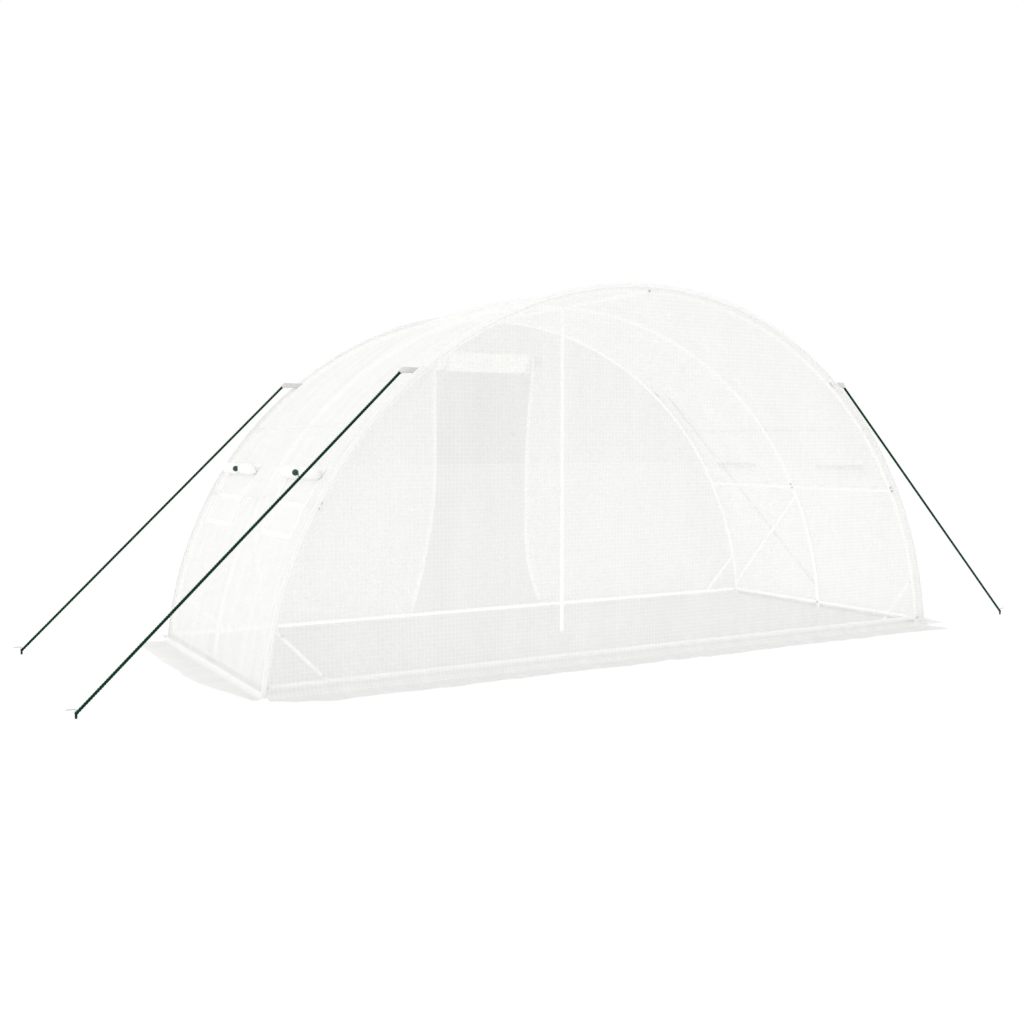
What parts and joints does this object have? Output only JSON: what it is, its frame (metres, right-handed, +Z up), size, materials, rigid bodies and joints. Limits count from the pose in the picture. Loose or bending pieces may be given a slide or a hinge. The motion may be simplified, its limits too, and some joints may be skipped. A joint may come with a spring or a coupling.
{
  "type": "polytunnel greenhouse",
  "caption": "Walk-in hooped polytunnel: tube frame under a translucent sewn film cover with mesh side windows, a rolled-up end door, ground skirts and guy ropes to pegs.",
  "frame": {"origin": "on the ground under the middle of the tunnel", "axes": "+X across the span to the right as seen from the closed gable, +Y along the tunnel from the closed gable to the door gable, +Z up"},
  "size_m": [7.006, 2.594, 2.3498],
  "materials": {
    "frame_paint": "white satin powder coat",
    "cover_film": "translucent woven film, satin",
    "seam_tape": "white binding tape",
    "window_mesh": "fine white insect mesh",
    "rolled_film": "rolled translucent film",
    "toggle_plastic": "gloss dark green",
    "clip_plastic": "matte pale grey",
    "rope_fibre": "braided dark green",
    "peg_steel": "zinc plated"
  },
  "bodies": {
    "root": {"hoop_front_left_leg": "frame_paint", "hoop_front_left_rafter": "frame_paint", "hoop_front_right_rafter": "frame_paint", "hoop_front_right_leg": "frame_paint", "hoop_middle_left_leg": "frame_paint", "hoop_middle_left_rafter": "frame_paint", "hoop_middle_right_rafter": "frame_paint", "hoop_middle_right_leg": "frame_paint", "hoop_back_left_leg": "frame_paint", "hoop_back_left_rafter": "frame_paint", "hoop_back_right_rafter": "frame_paint", "hoop_back_right_leg": "frame_paint", "ridge_tubes": "frame_paint", "left_purlins": "frame_paint", "right_purlins": "frame_paint", "centre_pole": "frame_paint", "front_base_rail": "frame_paint", "back_base_rail": "frame_paint", "left_base_rails": "frame_paint", "right_base_rails": "frame_paint", "front_corner_braces": "frame_paint", "back_corner_braces": "frame_paint", "left_side_brace": "frame_paint", "right_side_brace": "frame_paint", "left_side_film": "cover_film", "left_roof_film": "cover_film", "right_roof_film": "cover_film", "right_side_film": "cover_film", "front_gable_film": "cover_film", "back_gable_film": "cover_film", "front_gable_seam": "seam_tape", "back_gable_seam": "seam_tape", "front_skirt": "cover_film", "back_skirt": "cover_film", "left_skirt": "cover_film", "right_skirt": "cover_film", "left_window_screens": "window_mesh", "right_window_screens": "window_mesh", "left_window_rolls": "rolled_film", "right_window_rolls": "rolled_film", "window_toggles": "toggle_plastic", "door_roll": "rolled_film", "door_ties": "seam_tape", "guy_clips": "clip_plastic", "guy_ropes": "rope_fibre", "ground_pegs": "peg_steel"}
  },
  "joints": []
}
